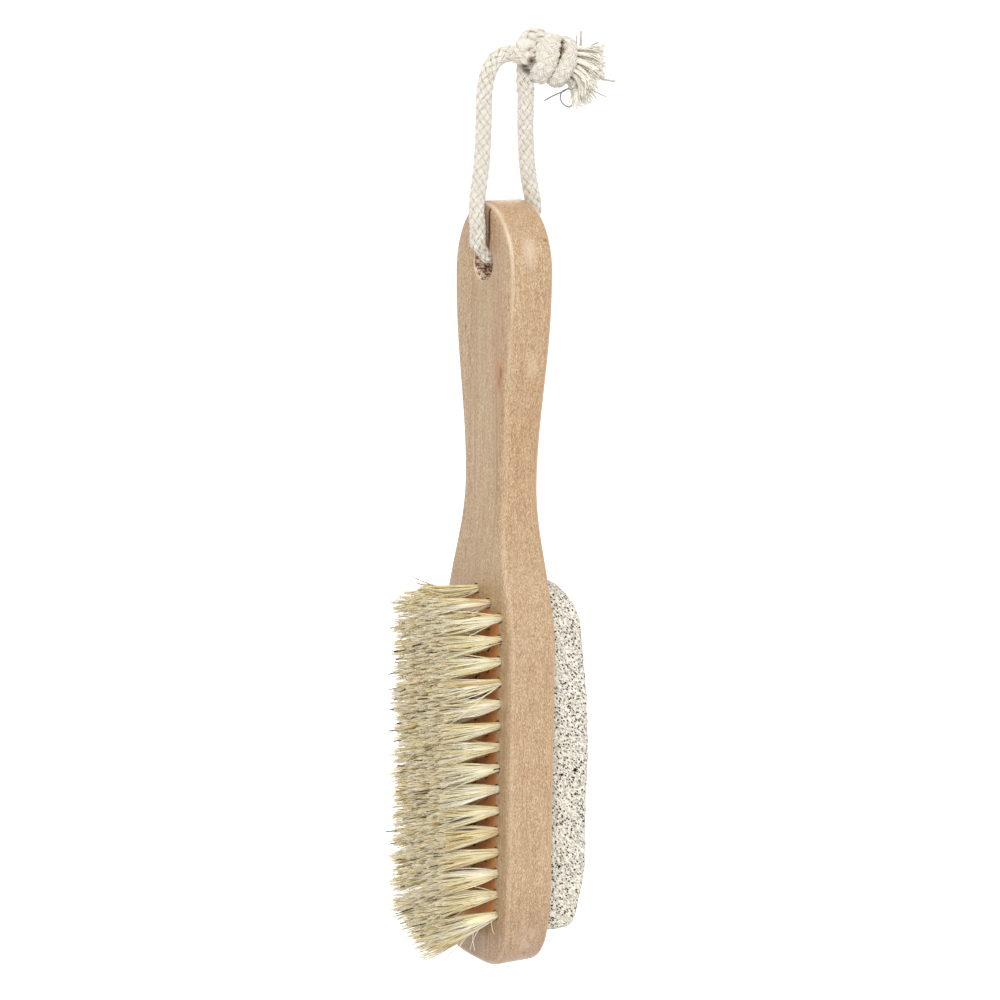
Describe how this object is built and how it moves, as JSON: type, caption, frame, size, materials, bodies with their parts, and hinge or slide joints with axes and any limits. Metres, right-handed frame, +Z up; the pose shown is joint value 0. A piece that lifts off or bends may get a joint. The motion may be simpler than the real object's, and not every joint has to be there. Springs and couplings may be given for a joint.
{
  "type": "two-sided foot brush with pumice stone",
  "caption": "Wooden paddle brush: natural bristle tufts on one broad side of the head, a pumice slab on the other, hung from a knotted rope loop through the handle.",
  "frame": {"origin": "the hang point, inside the top bend of the rope loop, where the loop rests on what it hangs from", "axes": "+X from the bristle side to the pumice side, -Y towards the narrow edge that the picture shows nearest, +Z up along the brush as it hangs"},
  "size_m": [0.0612, 0.0408, 0.2737],
  "materials": {
    "beech": "pale beech, satin, fine lengthwise grain",
    "bristle": "natural cream bristle, semi-matt, in a beech slice",
    "pumice": "off-white, matt, finely pored",
    "glue": "clear to cream, smooth",
    "cotton_rope": "off-white braided cotton, matt",
    "cotton_fray": "off-white loose cotton threads, matt"
  },
  "bodies": {
    "rope": {"rope_loop": "cotton_rope", "rope_knot": "cotton_rope", "rope_tassel": "cotton_fray"},
    "brush": {"wood_body": "beech", "bristle_row_01": "bristle", "bristle_row_02": "bristle", "bristle_row_03": "bristle", "bristle_row_04": "bristle", "bristle_row_05": "bristle", "bristle_row_06": "bristle", "bristle_row_07": "bristle", "bristle_row_08": "bristle", "bristle_row_09": "bristle", "bristle_row_10": "bristle", "bristle_row_11": "bristle", "bristle_row_12": "bristle", "bristle_row_13": "bristle", "bristle_row_14": "bristle", "bristle_row_15": "bristle", "bristle_row_16": "bristle", "bristle_row_17": "bristle", "pumice_adhesive": "glue", "pumice_stone": "pumice"}
  },
  "joints": [
    {"name": "brush_swing", "type": "hinge", "parent": "rope", "child": "brush", "pos_m": [0, 0, -0.0564], "axis": [1, 0, 0], "range_deg": [-90, 90]}
  ]
}
